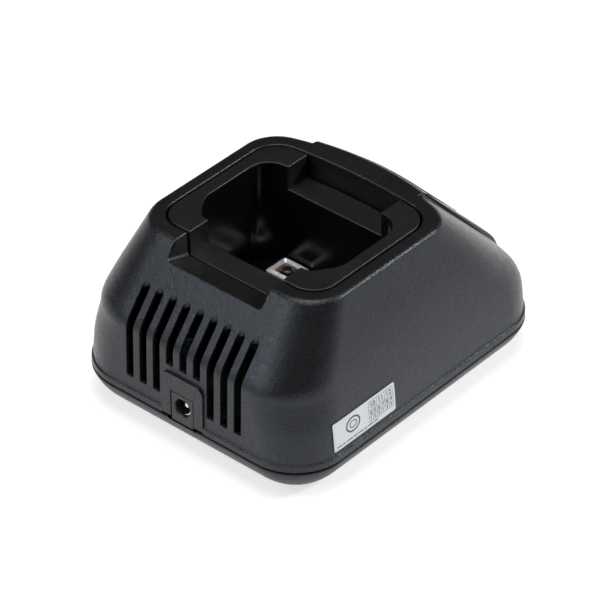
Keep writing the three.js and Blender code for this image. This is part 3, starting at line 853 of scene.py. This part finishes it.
def well_outline(grow, steps=7):
    h = WELL_HALF + grow
    a, b = WELL_REAR - grow, WELL_FRONT + grow
    low = [
        (21.3 + grow * 0.6, a - 0.6 * (1 if grow < 1 else 0)),
        (23.2 + grow * 0.7, 36.0 - grow * 0.7),
        (25.4 + grow * 0.8, 38.9 - grow * 0.6),
        (27.4 + grow, 42.0),
        (h, 45.0),
    ]
    high = [
        (h, 64.6),
        (h - 0.65, 68.0 + 0.2 * grow),
        (h - 2.5, 70.7 + 0.6 * grow),
        (h - 5.3, 72.5 + 0.9 * grow),
        (h - 8.6, b),
    ]
    half = smooth_line(low, steps) + smooth_line(high, steps)
    return [(-x, Y(d)) for x, d in half + [(-x, d) for x, d in reversed(half)]]


def build_pocket():
    o = slab(pocket_outline(0, 20), Z(36.2), Z(51.0), "pocket")
    add(o, slab(well_outline(2, 5), Z(WELL_FLOOR - 2.4), Z(40)))
    for x in (-14, 14):
        add(o, block(x - 4, x + 4, Y(36), Y(18.2), Z(34.2), Z(36.5)))
        add(o, block(x - 4, x + 4, Y(91.8), Y(72), Z(34.2), Z(36.5)))
    cut(o, slab(well_outline(0), Z(WELL_FLOOR), Z(60)))
    cut(o, block(-NOTCH_HALF, NOTCH_HALF, Y(38), Y(20), Z(NOTCH_FLOOR), Z(60)))
    cut(o, block(-NOTCH_HALF, NOTCH_HALF, Y(90), Y(70), Z(NOTCH_FLOOR), Z(60)))
    cut(o, block(-17, 17, Y(33), Y(28.3), Z(30), Z(39.8)), block(-17, 17, Y(80), Y(75.5), Z(30), Z(39.8)))
    add(o, slab(round4(-17, 17, Y(58), Y(40), [2] * 4, 6), Z(WELL_FLOOR - 0.5), Z(SEAT)))
    cut(o, joined(*[post(x, Y(d), Z(30), Z(40), 1.7, 16) for x in (-14, 14) for d in (21.6, 88.4)]))
    cut(o, joined(*[post(x, Y(CONTACT_D), Z(5), Z(15), 1.9, 32) for x in CONTACTS.values()]))

    def where(p, e):
        if p.z > Z(41.9):
            return 1.0
        if p.z < Z(14) and p.z > Z(12.9):
            return 0.5
        return 0.0

    return soften(o, 0.42, 4, 30, where)


def in_well(p):
    x, d = abs(p.x), LENGTH / 2 - p.y
    return p.z < Z(50.45) and x < 29.2 and 34.9 < d < 73.6 and not (x < NOTCH_HALF + 0.5 and p.z > Z(41.8))


# ---------------------------------------------------------------- build the big pieces
housing = build_housing()


def housing_side(c, n):
    if c.z > Z(50.95):
        return 1
    d = LENGTH / 2 - c.y
    inside = c.z > Z(41) and abs(c.x) < 21.6 and 8 < d < 27.5 and outside(c.x, d, c.z - SEAM) < -0.3
    return 1 if inside else 0


piece(housing, "housing_shell", "cradle", [M["housing"], M["rim"]], ["top_housing"], housing_side)
base = build_base()
piece(base, "base_pan", "cradle", [M["base"]], ["base_cover"])
pocket = build_pocket()
piece(
    pocket,
    "pocket_insert",
    "cradle",
    [M["pocket"], M["well"]],
    ["charging_pocket"],
    lambda c, n: 1 if in_well(c) else 0,
)


# ---------------------------------------------------------------- contacts
def build_contact(side, x):
    z0, z1 = Z(WELL_FLOOR + GAP), Z(WELL_FLOOR + 3.4)
    y = Y(CONTACT_D)
    # a rolled frame: its crown slopes both ways
    section_ = [(0.0, z0), (0.0, z1 - 0.8), (0.1, z1 - 0.62), (0.88, z1 - 0.1), (1.1, z1 - 0.02), (1.32, z1 - 0.1)]
    section_ += [(2.08, z1 - 0.62), (2.22, z1 - 0.85), (2.22, z0)]
    loops = []
    for g, z in section_:
        r = max(0.4, 0.9 - 0.25 * g)
        loops.append([(px, py, z) for px, py in round4(x - 5.35 + g, x + 5.35 - g, y - 4.9 + g, y + 4.9 - g, [r] * 4, 6)])
    b = hoop(loops, "bezel")
    shade(b, 34)
    piece(b, "contact_frame_" + side, "cradle", [M["frame"]], ["contact_bezel_" + side])
    zb = Z(WELL_FLOOR + 2.05)
    prof = [(0, Z(5.2)), (1.15, Z(5.2)), (1.3, Z(5.35)), (1.3, Z(8.6)), (2.15, Z(8.6)), (2.3, Z(8.72)), (2.3, Z(9.28)), (2.15, Z(9.4)), (1.3, Z(9.4))]
    prof += [(1.3, zb - 0.02), (1.8, zb), (1.88, zb + 0.1), (1.9, zb + 0.25)]
    prof += [(1.4 + 0.42 * math.cos(t), zb + 0.7 + 0.4 * math.sin(t)) for t in arc(5, 0, 75)]
    prof += [(1.1, zb + 1.15), (0.5, zb + 1.19), (0, zb + 1.2)]
    p = lathe(prof, x, y, 40, "plunger")
    shade(p, 50)
    piece(p, "contact_button_" + side, "contact_" + side, [M["bronze"]], ["contact_plunger_" + side])
    # coil spring
    turns, wire, mean = 6.5, 0.28, 2.05
    zs0, zs1 = Z(1.9) + wire, Z(8.3) - wire
    path = []
    steps = int(turns * 28)
    for k in range(steps + 1):
        u = k / steps
        t = u * turns
        # closed end coils
        e = min(t, turns - t, 1.0)
        lift = np.interp(t, [0, 1, turns - 1, turns], [0, wire * 2.05, (zs1 - zs0) - wire * 2.05, zs1 - zs0])
        path.append((x + mean * math.cos(2 * math.pi * t), y + mean * math.sin(2 * math.pi * t), zs0 + lift))
    s = tube(path, wire, 10, "spring")
    shade(s, 60)
    piece(s, "contact_coil_" + side, "cradle", [M["spring"]], ["contact_spring_" + side])
    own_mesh(s)


def tube(path, r, n=10, name="tube"):
    P = [Vector(p) for p in path]
    loops = []
    up = Vector((0, 0, 1))
    for i, p in enumerate(P):
        t = (P[min(i + 1, len(P) - 1)] - P[max(i - 1, 0)]).normalized()
        a = t.cross(up).normalized()
        b = a.cross(t).normalized()
        k = r if 0 < i < len(P) - 1 else r * 0.8
        loops.append([tuple(p + a * (k * math.cos(2 * math.pi * j / n)) + b * (k * math.sin(2 * math.pi * j / n))) for j in range(n)])
    return loft(loops, name)


for side, x in CONTACTS.items():
    build_contact(side, x)


# ---------------------------------------------------------------- power inlet
def build_inlet():
    w = JACK_W / 2
    o = block(-w, w, Y(3.6), Y(0.15), Z(BOARD_TOP + GAP), Z(JACK_AXIS + 4.8), "inlet")
    add(o, block(-w + 0.02, w - 0.02, Y(14.2), Y(3.5), Z(BOARD_TOP + GAP), Z(JACK_AXIS)))
    add(o, rod(0, Y(14.15), Y(3.45), Z(JACK_AXIS), w - 0.01, 48))
    bore = loft(
        [
            [(a, Y(d), b) for a, b in circle(0, Z(JACK_AXIS), r, 64)]
            for d, r in ((10.2, 3.1), (0.85, 3.1), (0.62, 3.14), (0.4, 3.26), (0.24, 3.46), (0.15, 3.75), (-1, 3.75))
        ],
        "bore",
    )
    cut(o, bore)
    soften(o, 0.2, 3, 32, lambda p, e: 1.0 if p.y > Y(0.5) and math.hypot(p.x, p.z - Z(JACK_AXIS)) > 4.2 else 0.0)
    piece(o, "inlet_body", "cradle", [M["inlet"]], ["power_inlet_body"])
    prof = [(0, 9.9), (1.6, 9.9), (1.6, 8.7), (1.45, 8.6), (1.0, 8.6), (1.0, 3.0)]
    prof += [(0.55 + 0.45 * math.cos(t), 2.65 - 0.45 * math.sin(t)) for t in arc(6)]
    prof += [(0.0, 2.2)]
    pin = lathe([(r, -d) for r, d in prof], 0, 0, 40, "pin")
    # turn the lathe's axis to lie along Y
    pin.data.transform(Matrix.Translation((0, Y(0), Z(JACK_AXIS))) @ Matrix.Rotation(math.radians(-90), 4, "X"))
    shade(pin, 40)
    piece(pin, "inlet_pin", "cradle", [M["nickel"]], ["power_inlet_pin"])
    # sprung leaf: rolled in at its mouth, waisted half way
    loops = []
    for d, lift in ((1.1, -0.02), (1.35, 0.1), (1.9, 0.0), (3.2, 0.22), (5.0, 0.36), (6.8, 0.2), (8.2, 0.0)):
        r0 = JACK_BORE / 2 - 0.28 - lift
        r1 = r0 - 0.3
        pts = []
        for k in range(9):
            t = math.radians(195 + 8.75 * k)
            pts.append((r0 * math.cos(t), Z(JACK_AXIS) + r0 * math.sin(t)))
        for k in range(8, -1, -1):
            t = math.radians(195 + 8.75 * k)
            pts.append((r1 * math.cos(t), Z(JACK_AXIS) + r1 * math.sin(t)))
        loops.append([(a, Y(d), b) for a, b in pts])
    leaf = loft(loops, "leaf")
    soften(leaf, 0.06, 2, 40)
    piece(leaf, "inlet_leaf", "cradle", [M["nickel"]], ["power_inlet_leaf"])


build_inlet()


# ---------------------------------------------------------------- labels
def wall_x(d, h, proud):
    """x (towards the camera's right, negative in the frame) of the side wall."""
    half, rear, front, rr, rf = sizes(h)
    if d < rear + rr:
        k = rear + rr - d
        return half - rr + math.sqrt(max(0.0, (rr + proud) ** 2 - k * k))
    return half + proud


def side_sheet(d0, d1, h0, h1, low, high, nd=24, nh=8, radius=0.0):
    """A thin closed sheet on the side wall."""
    us = np.linspace(0, 1, nd + 1)
    vs = np.linspace(0, 1, nh + 1)
    verts, faces = [], []
    for proud in (low, high):
        for v in vs:
            for u in us:
                d, h = d0 + (d1 - d0) * u, h0 + (h1 - h0) * v
                if radius:
                    # draw the corners in
                    du, dv = min(d - d0, d1 - d), min(h - h0, h1 - h)
                    if du < radius and dv < radius:
                        a, b = radius - du, radius - dv
                        m = max(a, b)
                        k = m / math.hypot(a, b) if math.hypot(a, b) > 0 else 1
                        a, b = a * k, b * k
                        d = d0 + radius - a if u < 0.5 else d1 - radius + a
                        h = h0 + radius - b if v < 0.5 else h1 - radius + b
                verts.append((-wall_x(d, h, proud), Y(d), Z(h)))
    W = nd + 1
    N = W * (nh + 1)
    for j in range(nh):
        for i in range(nd):
            a = j * W + i
            faces.append((a, a + 1, a + 1 + W, a + W))
            faces.append((a + N, a + N + W, a + N + 1 + W, a + N + 1))
    edge = [i for i in range(W)] + [j * W + nd for j in range(1, nh + 1)]
    edge += [nh * W + i for i in range(nd - 1, -1, -1)] + [j * W for j in range(nh - 1, 0, -1)]
    for i, a in enumerate(edge):
        b = edge[(i + 1) % len(edge)]
        faces.append((b, a, a + N, b + N))
    return obj_from("sheet", verts, faces)


LABEL = (16.2, 45.4, 4.4, 14.6)


def numeral(word, d, h, size):
    """A number on the side wall, as a thin raised mark."""
    cu = bpy.data.curves.new("numeral", "FONT")
    cu.body = word
    cu.size = size
    cu.align_x, cu.align_y = "CENTER", "CENTER"
    cu.extrude = 0.02
    cu.offset = 0.03
    cu.resolution_u = 3
    src = bpy.data.objects.new("numeral", cu)
    scene.collection.objects.link(src)
    dg = bpy.context.evaluated_depsgraph_get()
    dg.update()
    me = bpy.data.meshes.new_from_object(src.evaluated_get(dg))
    bpy.data.objects.remove(src)
    bpy.data.curves.remove(cu)
    for v in me.vertices:
        u, w, k = v.co
        v.co = (-wall_x(d + u, h + w, 0.35 + k), Y(d + u), Z(h + w))
    o = bpy.data.objects.new("numeral", me)
    scene.collection.objects.link(o)
    bm = bmesh.new()
    bm.from_mesh(me)
    bmesh.ops.remove_doubles(bm, verts=bm.verts, dist=0.0005)
    bmesh.ops.recalc_face_normals(bm, faces=bm.faces)
    bm.to_mesh(me)
    bm.free()
    return o


def build_labels():
    t = Tree("white_film")
    fine = t.noise(2600, 3, 0.6)
    broad = t.noise(160, 3, 0.5)
    M["label"] = t.set(
        Base_Color=t.mix(t.ramp(broad, 0.3, 0.7), (0.575, 0.59, 0.605), (0.625, 0.64, 0.655)),
        Roughness=t.ramp(fine, 0.3, 0.7, 0.4, 0.55),
        Normal=t.bump(fine, 0.000004),
    )
    M["ink"] = coated("dark_ink", (0.05, 0.05, 0.055), 0.45, 2600, 0.003)
    d0, d1, h0, h1 = LABEL
    sheet = side_sheet(d0, d1, h0, h1, 0.15, 0.33, 48, 20, 0.5)
    shade(sheet, 40)
    piece(sheet, "side_label_film", "cradle", [M["label"]], ["side_label"])
    marks = []

    def bar(a0, a1, b0, b1):
        n = max(1, int(abs(a1 - a0) / 1.5))
        marks.append(side_sheet(a0, a1, b0, b1, 0.33, 0.37, n, 1))

    # plain double ring
    cd, ch = d0 + 9.1, h0 + 6.0
    for a0, b0, a1, b1 in ((2.8, 2.2, 3.4, 2.75), (1.35, 1.05, 1.75, 1.35)):
        verts, faces = [], []
        n = 64
        for proud in (0.33, 0.37):
            for a, b in ((a0, b0), (a1, b1)):
                for k in range(n):
                    v = 2 * math.pi * k / n
                    d, h = cd + a * math.cos(v), ch + b * math.sin(v)
                    verts.append((-wall_x(d, h, proud), Y(d), Z(h)))
        for k in range(n):
            j = (k + 1) % n
            i0, i1, j0, j1 = k, n + k, j, n + j
            faces += [(i0, i1, j1, j0), (i0 + 2 * n, j0 + 2 * n, j1 + 2 * n, i1 + 2 * n)]
            faces += [(i0, j0, j0 + 2 * n, i0 + 2 * n), (i1, i1 + 2 * n, j1 + 2 * n, j1)]
        marks.append(obj_from("ring", verts, faces))
    # date grid at the far end: plain numbers in ruled boxes
    tall = h1 - h0
    g0, g1 = d0 + (d1 - d0) * 0.57, d1 - 1.0
    levels = [h1 - tall * v for v in (0.09, 0.39, 0.61, 0.8)]
    for h in levels:
        bar(g0, g1, h - 0.05, h + 0.05)
    for row, cols in ((0, 3), (1, 6), (2, 6)):
        for c in range(cols + 1):
            d = g0 + (g1 - g0) * c / cols
            bar(d - 0.05, d + 0.05, levels[row + 1], levels[row])
    for row, words, size in (
        (0, ("10", "11", "12"), 2.7),
        (1, ("4", "5", "6", "7", "8", "9"), 2.0),
        (2, ("1", "2", "3", "1", "2", "3"), 1.6),
    ):
        for c, word in enumerate(words):
            d = g0 + (g1 - g0) * (c + 0.5) / len(words)
            marks.append(numeral(word, d, (levels[row] + levels[row + 1]) / 2, size))
    # short dashes along the lower edge
    x = d0 + 1.2
    for k, w in enumerate((2.2, 1.4, 2.8, 1.8, 2.4, 1.2, 2.6, 1.9, 2.2)):
        if x + w > d1 - 8:
            break
        bar(x, x + w, h0 + 0.95, h0 + 1.35)
        x += w + 0.45
    m = joined(*marks)
    shade(m, 40)
    piece(m, "side_label_print", "cradle", [M["ink"]])


build_labels()


# ---------------------------------------------------------------- front overlay
def build_front():
    M["overlay"] = moulded("dark_film", (0.022, 0.0225, 0.025), 0.3, grain=0.2, depth=0.006)
    rows = [h for h in ROWS if 12 < h]
    outer = loft([ring(h, -PANEL_PROUD - 0.42) for h in rows], "outer")
    cut(outer, loft([ring(h, -PANEL_PROUD - 0.12) for h in rows[:1]] + [ring(h, -PANEL_PROUD - 0.12) for h in rows[1:]], "inner"))
    window = slab(round4(-17, 17, Y(116), Y(96), [2.0] * 4, 8), Z(14), Z(49.2))
    boolean(outer, window, "INTERSECT")
    cut(outer, joined(*[post(x, Y(108), Z(20), Z(50), 1.8, 40) for x in (-6, 6)]))
    soften(outer, 0.1, 2, 40)
    piece(outer, "front_film", "cradle", [M["overlay"]], ["front_overlay"])


build_front()


# ---------------------------------------------------------------- screws, feet, rating label
def build_screw(name, x, d):
    z = Z(-8.7)
    prof = [(0, z), (1.5, z), (2.1, z + 0.08), (2.5, z + 0.35), (2.72, z + 0.8), (2.8, z + 1.3), (2.8, z + 1.85), (2.65, z + 2.0), (1.3, z + 2.0)]
    zz = z + 2.2
    while zz < z + 15.2:
        prof += [(1.3, zz), (1.02, zz + 0.4), (1.02, zz + 0.55), (1.3, zz + 0.95)]
        zz += 1.0
    prof += [(1.1, z + 15.6), (0.5, z + 16.0), (0, z + 16.0)]
    o = lathe([(r, v) for r, v in prof], x, Y(d), 32, "screw")
    tools = []
    for ang in (0, 90):
        t = block(-1.55, 1.55, -0.36, 0.36, z - 1, z + 0.95)
        t.data.transform(Matrix.Translation((x, Y(d), 0)) @ Matrix.Rotation(math.radians(ang + 12), 4, "Z"))
        tools.append(t)
    add(tools[0], tools[1])
    cut(o, tools[0])
    soften(o, 0.07, 2, 40, lambda p, e: 1.0 if p.z < z + 0.3 else 0.0)
    corner = ("rear" if d < 60 else "front") + ("_right" if -x > 0 else "_left")
    piece(o, "pan_screw_" + corner, "cradle", [M["screw"]], ["base_screw_" + corner])


for x, d in POSTS:
    build_screw("screw", x, d)

for x, d in FEET:
    prof = [(0, 0.12), (3.6, 0.12), (3.9, 0.02), (4.2, 0.0), (4.6, 0.0)]
    prof += [(4.62 + 0.38 * math.sin(t), 0.38 * (1 - math.cos(t))) for t in arc(5)]
    prof += [(5.0, 1.45), (4.85, 1.6), (0, 1.6)]
    f = lathe(prof, x, Y(d), 56, "foot")
    shade(f, 45)
    corner = ("rear" if d < 60 else "front") + ("_right" if -x > 0 else "_left")
    piece(f, "foot_pad_" + corner, "cradle", [M["rubber"]], ["rubber_foot_" + corner])


def build_rating():
    t = Tree("silver_film")
    streak = t.noise(900, 4, 0.6, t.mapped((1, 12, 1)))
    M["silver"] = t.set(
        Base_Color=t.mix(t.ramp(streak, 0.3, 0.7), (0.6, 0.6, 0.59), (0.72, 0.72, 0.71)),
        Roughness=t.ramp(streak, 0.3, 0.7, 0.34, 0.48),
        Metallic=0.35,
        Normal=t.bump(streak, 0.000004),
    )
    o = slab(round4(-21.5, 21.5, Y(83.5), Y(52.5), [1.0] * 4, 6), Z(-BASE_H), Z(-BASE_H + 0.15), "rating")
    soften(o, 0.03, 2, 40)
    piece(o, "rating_film", "cradle", [M["silver"]], ["rating_label"])
    marks = []
    z0, z1 = Z(-BASE_H) - 0.03, Z(-BASE_H)
    for y0, y1 in ((Y(82), Y(81.7)), (Y(76), Y(75.7)), (Y(70), Y(69.7)), (Y(64), Y(63.7)), (Y(58), Y(57.7)), (Y(54.3), Y(54))):
        marks.append(block(-20, 20, y0, y1, z0, z1))
    m = joined(*marks)
    shade(m)
    piece(m, "rating_rules", "cradle", [M["ink"]])


build_rating()

# ---------------------------------------------------------------- carried-over CAD nodes
CARRIED = {
    "contact_carrier": "inlet",
    "circuit_board": "board",
    "input_capacitor": "sleeve",
    "output_capacitor": "sleeve",
    "storage_inductor": "ferrite",
    "charge_controller": "epoxy",
    "sense_resistor": "cement",
    "input_fuse": "fuse",
    "rectifier_diode": "epoxy",
    "power_transistor": "epoxy",
    "heat_sink": "aluminium",
    "indicator_led_left": "red",
    "indicator_led_right": "green",
    "light_pipe_left": "clear",
    "light_pipe_right": "clear",
}
for name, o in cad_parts.items():
    if o.hide_render:
        continue
    look = CARRIED.get(name, "screw" if "screw" in name else "epoxy")
    o.data.materials.clear()
    o.data.materials.append(M[look])
    b = o.modifiers.new("edges", "BEVEL")
    b.limit_method = "ANGLE"
    b.angle_limit = math.radians(35)
    b.width = 0.00012
    b.segments = 2

# ---------------------------------------------------------------- studio
floor = obj_from("studio_floor", [(-4, -4, 0), (4, -4, 0), (4, 4, 0), (-4, 4, 0)], [(0, 1, 2, 3)])
t = Tree("white_sweep")
grain = t.noise(40, 2, 0.5)
t.set(
    Base_Color=t.mix(t.ramp(grain, 0.3, 0.7), (0.50, 0.50, 0.50), (0.515, 0.515, 0.515)),
    Roughness=0.9,
    Specular_IOR_Level=0.2,
    Emission_Color=(0.98, 0.99, 1.0),
    Emission_Strength=0.66,
)
floor.data.materials.append(t.mat)


def area(name, place, target, size, power, colour=(1, 1, 1)):
    light = bpy.data.lights.new(name, "AREA")
    light.shape = "RECTANGLE"
    light.size, light.size_y = size
    light.energy = power
    light.color = colour
    o = bpy.data.objects.new(name, light)
    scene.collection.objects.link(o)
    o.location = place
    o.rotation_euler = (Vector(target) - Vector(place)).to_track_quat("-Z", "Y").to_euler()
    return o


def panel(name, azimuth, elevation, size, power, colour=(1, 1, 1), away=1.6, target=(0, 0, 0.03)):
    """A soft square panel. Azimuth 0 is the front of the cradle, 90 its left."""
    a, e = math.radians(azimuth), math.radians(elevation)
    place = Vector((math.sin(a) * math.cos(e), -math.cos(a) * math.cos(e), math.sin(e))) * away
    return area(name, place + Vector(target), target, (size, size), power, colour)


panel("overhead", 180, 86, 0.9, 14.5, (1.0, 0.985, 0.97))
panel("key", 225, 64, 0.8, 1.8, (0.99, 0.995, 1.0))
panel("edge_right", 315, 33, 0.4, 17.5, (0.95, 0.975, 1.0))
panel("edge_rear", 139, 40, 0.4, 5.0, (0.95, 0.975, 1.0))
panel("low_rear", 163, 27, 0.25, 1.3, (0.9, 0.94, 1.0), 0.7, (-0.03, 0.05, 0.045))
world = bpy.data.worlds.new("studio")
scene.world = world
world.use_nodes = True
tree = world.node_tree
dim = tree.nodes["Background"]
dim.inputs[0].default_value = (1.0, 0.98, 0.95, 1)
dim.inputs[1].default_value = 0.02
# the backdrop seen past the floor is as pale as the floor, but the room itself is dim
pale = tree.nodes.new("ShaderNodeBackground")
pale.inputs[0].default_value = (0.94, 0.94, 0.94, 1)
seen = tree.nodes.new("ShaderNodeLightPath")
both = tree.nodes.new("ShaderNodeMixShader")
tree.links.new(seen.outputs["Is Camera Ray"], both.inputs[0])
tree.links.new(dim.outputs[0], both.inputs[1])
tree.links.new(pale.outputs[0], both.inputs[2])
tree.links.new(both.outputs[0], tree.nodes["World Output"].inputs["Surface"])

cam = bpy.data.cameras.new("camera")
cam.lens = 221.404
cam.sensor_width = 36
cam.clip_end = 20
camera = bpy.data.objects.new("camera", cam)
scene.collection.objects.link(camera)
back = Vector((-0.5244, 0.6058, 0.5984)).normalized()
camera.location = (-0.61922, 0.72285, 0.73446)
right = Vector((0, 0, 1)).cross(back).normalized()
up = back.cross(right)
rot = Matrix((right, up, back)).transposed()
camera.rotation_euler = rot.to_euler()
scene.camera = camera
scene.view_settings.view_transform = "Standard"
scene.view_settings.look = "None"
scene.view_settings.exposure = 0
scene.view_settings.gamma = 1
